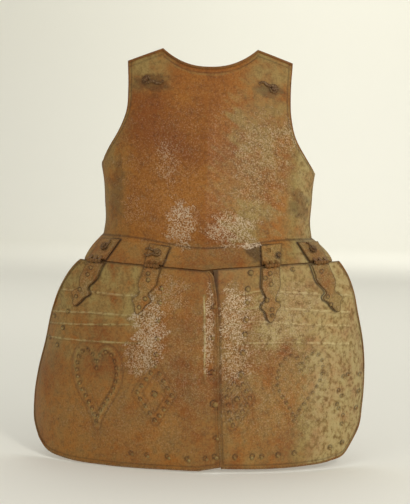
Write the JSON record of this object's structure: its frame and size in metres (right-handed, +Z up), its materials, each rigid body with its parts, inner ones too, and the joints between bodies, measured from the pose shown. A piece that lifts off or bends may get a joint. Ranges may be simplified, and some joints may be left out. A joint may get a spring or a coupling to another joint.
{
  "type": "cuirass breastplate with hinged tassets",
  "caption": "Plate breastplate with a waist flange, rolled neck and armhole edges, turning hooks, and two large tassets swinging on strap hinges.",
  "frame": {"origin": "inner face of the chest on the centre line, level with the lower corners of the armholes, where the plate rests on the wearer", "axes": "+Z up, +X to the wearer's left, the front of the breastplate faces -Y"},
  "size_m": [0.5616, 0.1624, 0.6847],
  "materials": {
    "rusted_sheet": "rusted",
    "rusted_fittings": "rusted",
    "dark_iron": "dark rusted"
  },
  "bodies": {
    "breast": {"breastplate": "rusted_sheet", "hinge_leaf_1": "rusted_fittings", "hinge_leaf_2": "rusted_fittings", "hinge_leaf_3": "rusted_fittings", "hinge_leaf_4": "rusted_fittings", "hinge_pin_1": "dark_iron", "hinge_pin_2": "dark_iron", "hinge_pin_3": "dark_iron", "hinge_pin_4": "dark_iron", "hook_stud_1": "dark_iron", "hook_stud_2": "dark_iron", "hook_stud_3": "dark_iron", "hook_stud_4": "dark_iron", "shoulder_stud_right": "dark_iron", "shoulder_stud_left": "dark_iron"},
    "right_tasset": {"tasset_right": "rusted_sheet", "hinge_strap_1": "rusted_fittings", "hinge_strap_2": "rusted_fittings"},
    "left_tasset": {"tasset_left": "rusted_sheet", "hinge_strap_3": "rusted_fittings", "hinge_strap_4": "rusted_fittings"},
    "hook_1": {"turning_hook_1": "dark_iron"},
    "hook_2": {"turning_hook_2": "dark_iron"},
    "hook_4": {"turning_hook_4": "dark_iron"},
    "right_shoulder_hook": {"shoulder_hook_right": "dark_iron"},
    "left_shoulder_hook": {"shoulder_hook_left": "dark_iron"}
  },
  "joints": [
    {"name": "right_tasset_swing", "type": "hinge", "parent": "breast", "child": "right_tasset", "pos_m": [-0.13419, -0.01163, -0.15898], "axis": [-0.9201, 0.3897, 0.0395], "range_deg": [0, 75]},
    {"name": "left_tasset_swing", "type": "hinge", "parent": "breast", "child": "left_tasset", "pos_m": [0.15113, -0.00506, -0.15395], "axis": [-0.9045, -0.4225, -0.0586], "range_deg": [-3, 75]},
    {"name": "hook_1_turn", "type": "hinge", "parent": "breast", "child": "hook_1", "pos_m": [-0.16806, 0.0267, -0.13449], "axis": [-0.4529, -0.6329, 0.628], "range_deg": [-60, 60]},
    {"name": "hook_2_turn", "type": "hinge", "parent": "breast", "child": "hook_2", "pos_m": [-0.07763, -0.01424, -0.1408], "axis": [-0.1641, -0.8331, 0.5282], "range_deg": [-100, 10]},
    {"name": "hook_4_turn", "type": "hinge", "parent": "breast", "child": "hook_4", "pos_m": [0.1767, 0.03204, -0.13137], "axis": [0.4224, -0.5635, 0.7099], "range_deg": [-100, 30]},
    {"name": "right_shoulder_hook_turn", "type": "hinge", "parent": "breast", "child": "right_shoulder_hook", "pos_m": [-0.10407, 0.03798, 0.14206], "axis": [-0.2337, -0.9493, 0.2103], "range_deg": [-60, 60]},
    {"name": "left_shoulder_hook_turn", "type": "hinge", "parent": "breast", "child": "left_shoulder_hook", "pos_m": [0.10608, 0.03614, 0.13106], "axis": [0.2531, -0.9474, 0.1959], "range_deg": [-60, 60]}
  ]
}
